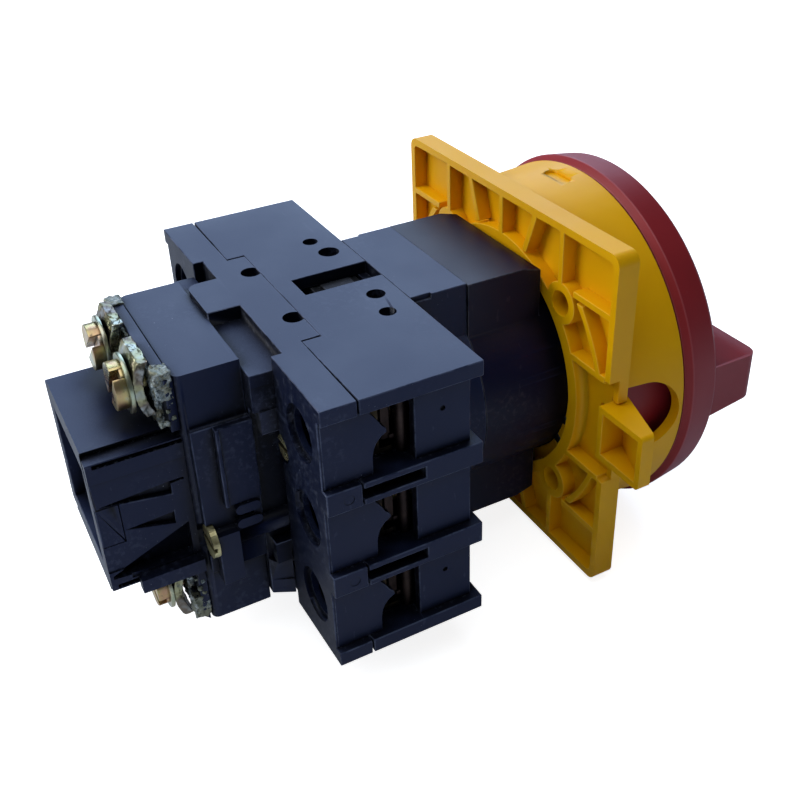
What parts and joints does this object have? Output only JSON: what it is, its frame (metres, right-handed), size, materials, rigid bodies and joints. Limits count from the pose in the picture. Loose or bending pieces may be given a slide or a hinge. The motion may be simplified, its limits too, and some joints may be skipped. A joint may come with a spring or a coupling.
{
  "type": "rotary main switch",
  "caption": "Rotary main switch with a padlockable round handle on a square front plate, a cross-shaped contact body with side terminals and a rear auxiliary contact block.",
  "frame": {"origin": "centre of the front plate's rear face, which meets the panel, on the shaft axis", "axes": "+Y along the shaft to the rear, through the switch body; -Y towards the handle; +Z the direction in which the poles stack; -X towards the padlock slide"},
  "size_m": [0.0707, 0.1056, 0.062],
  "materials": {
    "yellow_plastic": "moulded, satin",
    "red_plastic": "moulded, satin",
    "black_plastic": "moulded, fine matt grain",
    "brown_black_plastic": "moulded, satin",
    "contact_brass": "stamped, dull",
    "yellow_zinc": "yellow-passivated zinc, worn",
    "steel": "bright zinc"
  },
  "bodies": {
    "base": {"aux_base": "black_plastic", "aux_contact_1": "contact_brass", "aux_contact_2": "contact_brass", "aux_contact_3": "contact_brass", "aux_contact_4": "contact_brass", "aux_cover": "black_plastic", "aux_fixing_screws": "yellow_zinc", "aux_saddle_1": "yellow_zinc", "aux_saddle_2": "yellow_zinc", "aux_saddle_3": "yellow_zinc", "aux_saddle_4": "yellow_zinc", "aux_terminal_screws": "yellow_zinc", "aux_washers": "yellow_zinc", "barrel": "brown_black_plastic", "body_screws": "yellow_zinc", "contact_housing": "black_plastic", "detent_plungers": "steel", "detent_springs": "steel", "fixed_contact_1": "contact_brass", "fixed_contact_2": "contact_brass", "fixed_contact_3": "contact_brass", "fixed_contact_4": "contact_brass", "fixed_contact_5": "contact_brass", "fixed_contact_6": "contact_brass", "front_plate": "yellow_plastic", "neck_housing": "brown_black_plastic", "rear_housing": "black_plastic", "side_latch_far": "black_plastic", "side_latch_near": "black_plastic", "terminal_screws": "yellow_zinc", "wire_clamp_1": "yellow_zinc", "wire_clamp_2": "yellow_zinc", "wire_clamp_3": "yellow_zinc", "wire_clamp_4": "yellow_zinc", "wire_clamp_5": "yellow_zinc", "wire_clamp_6": "yellow_zinc"},
    "rotor": {"knob": "red_plastic", "knob_screw": "steel", "screw_cap": "red_plastic", "shaft": "steel", "detent_star": "black_plastic", "cam_drum": "black_plastic"},
    "carrier": {"contact_carrier": "black_plastic", "bridge_contact_1": "contact_brass", "bridge_contact_2": "contact_brass", "bridge_contact_3": "contact_brass", "contact_spring_1": "steel", "contact_spring_2": "steel", "contact_spring_3": "steel"},
    "aux_slider": {"aux_plunger": "black_plastic", "aux_bridge_1": "contact_brass", "aux_bridge_2": "contact_brass", "aux_spring_1": "steel", "aux_spring_2": "steel"},
    "lock": {"padlock_slide": "yellow_plastic"}
  },
  "joints": [
    {"name": "knob_turn", "type": "hinge", "parent": "base", "child": "rotor", "pos_m": [0, 0, 0], "axis": [0, 1, 0], "range_deg": [0, 90]},
    {"name": "carrier_slide", "type": "slide", "parent": "base", "child": "carrier", "axis": [0, 1, 0], "range_m": [0, 0.0036]},
    {"name": "aux_slide", "type": "slide", "parent": "base", "child": "aux_slider", "axis": [0, 1, 0], "range_m": [0, 0.0036]},
    {"name": "padlock_slide_out", "type": "slide", "parent": "base", "child": "lock", "axis": [-1, 0, 0], "range_m": [0, 0.0074]}
  ],
  "couplings": [
    {"joint": "carrier_slide", "follows": "knob_turn", "m_per_rad": 0.0022918},
    {"joint": "aux_slide", "follows": "knob_turn", "m_per_rad": 0.0022918}
  ]
}
